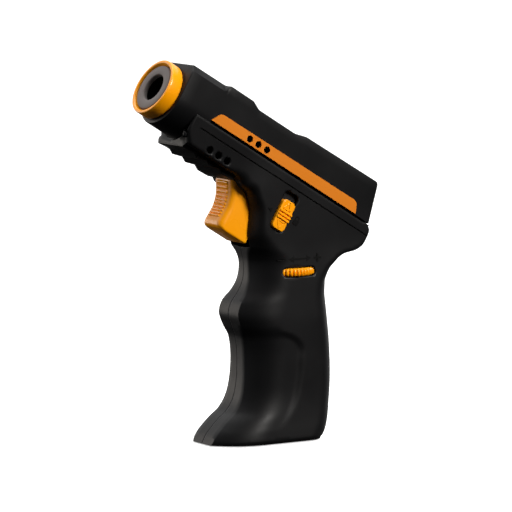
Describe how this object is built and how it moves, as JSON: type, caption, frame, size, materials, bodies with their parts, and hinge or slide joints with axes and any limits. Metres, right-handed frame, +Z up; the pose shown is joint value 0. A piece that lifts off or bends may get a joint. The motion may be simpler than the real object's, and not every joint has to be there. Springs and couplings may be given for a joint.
{
  "type": "pistol-grip gas torch",
  "caption": "Hand-held refillable gas torch with a tilted barrel, burner nozzle, squeeze trigger with igniter, lock slider, flow wheel and a grip that stands on its flat foot.",
  "frame": {"origin": "a point on the flat underside of the grip, on the plane where the two housing shells meet", "axes": "+Z up out of the base; -X forwards, the way the muzzle points before its upward tilt; -Y the side with the flow wheel and the lock slider"},
  "size_m": [0.1078, 0.036, 0.1586],
  "materials": {
    "housing": "matte",
    "cover": "matte",
    "strip": "matte",
    "bright": "gloss",
    "ceramic": "matte",
    "steel": "satin",
    "burnt_steel": "matte",
    "brass": "satin",
    "tubing": "satin",
    "wire": "satin",
    "inner_plastic": "satin",
    "tank_plastic": "satin",
    "seal": "matte"
  },
  "bodies": {
    "housing": {"left_shell": "housing", "right_shell": "housing", "base_cap": "housing", "barrel_cover": "cover", "side_strip_left": "strip", "side_strip_right": "strip", "nozzle_ring": "bright", "nozzle_insert": "ceramic", "burner_tube": "burnt_steel", "flame_holder": "burnt_steel", "heat_shield": "steel", "burner_bracket": "steel", "electrode_rod": "steel", "piezo_spring": "steel", "lever_pin": "steel", "housing_screws": "steel", "mixer_body": "brass", "gas_jet": "brass", "valve_body": "brass", "fill_valve": "brass", "gas_pipe": "tubing", "ignition_wire": "wire", "electrode_tube": "ceramic", "piezo_case": "inner_plastic", "gas_tank": "tank_plastic", "tank_lid": "tank_plastic", "fill_seal": "seal"},
    "trigger": {"trigger": "bright", "piezo_plunger": "inner_plastic"},
    "gas_lever": {"gas_lever": "inner_plastic"},
    "valve_stem": {"valve_stem": "brass"},
    "lock_slider": {"lock_slider": "bright"},
    "flow_wheel": {"flow_wheel": "bright"},
    "fill_stem": {"fill_stem": "brass"}
  },
  "joints": [
    {"name": "trigger_slide", "type": "slide", "parent": "housing", "child": "trigger", "axis": [0.8549, 0, -0.5188], "range_m": [0, 0.0055], "stiffness_N_per_m": 2500, "springref_m": -0.003, "deforming": ["piezo_spring"]},
    {"name": "gas_lever_pivot", "type": "hinge", "parent": "housing", "child": "gas_lever", "pos_m": [0.0095, -0.0055, 0.09], "axis": [0, -1, 0], "range_deg": [0, 15.5]},
    {"name": "valve_lift", "type": "slide", "parent": "housing", "child": "valve_stem", "axis": [0, 0, 1], "range_m": [0, 0.0009]},
    {"name": "lock_slide", "type": "slide", "parent": "housing", "child": "lock_slider", "axis": [0.5188, 0, 0.8549], "range_m": [0, 0.0034]},
    {"name": "flow_wheel_turn", "type": "hinge", "parent": "housing", "child": "flow_wheel", "pos_m": [0.01275, -0.006, 0.0701], "axis": [0, 0, 1], "range_deg": [-90, 90]},
    {"name": "fill_stem_push", "type": "slide", "parent": "housing", "child": "fill_stem", "axis": [0, 0, 1], "range_m": [0, 0.0016], "stiffness_N_per_m": 600, "springref_m": -0.001}
  ],
  "couplings": [
    {"joint": "gas_lever_pivot", "follows": "trigger_slide", "rad_per_m": 49.09},
    {"joint": "valve_lift", "follows": "trigger_slide", "ratio": 0.1636}
  ]
}
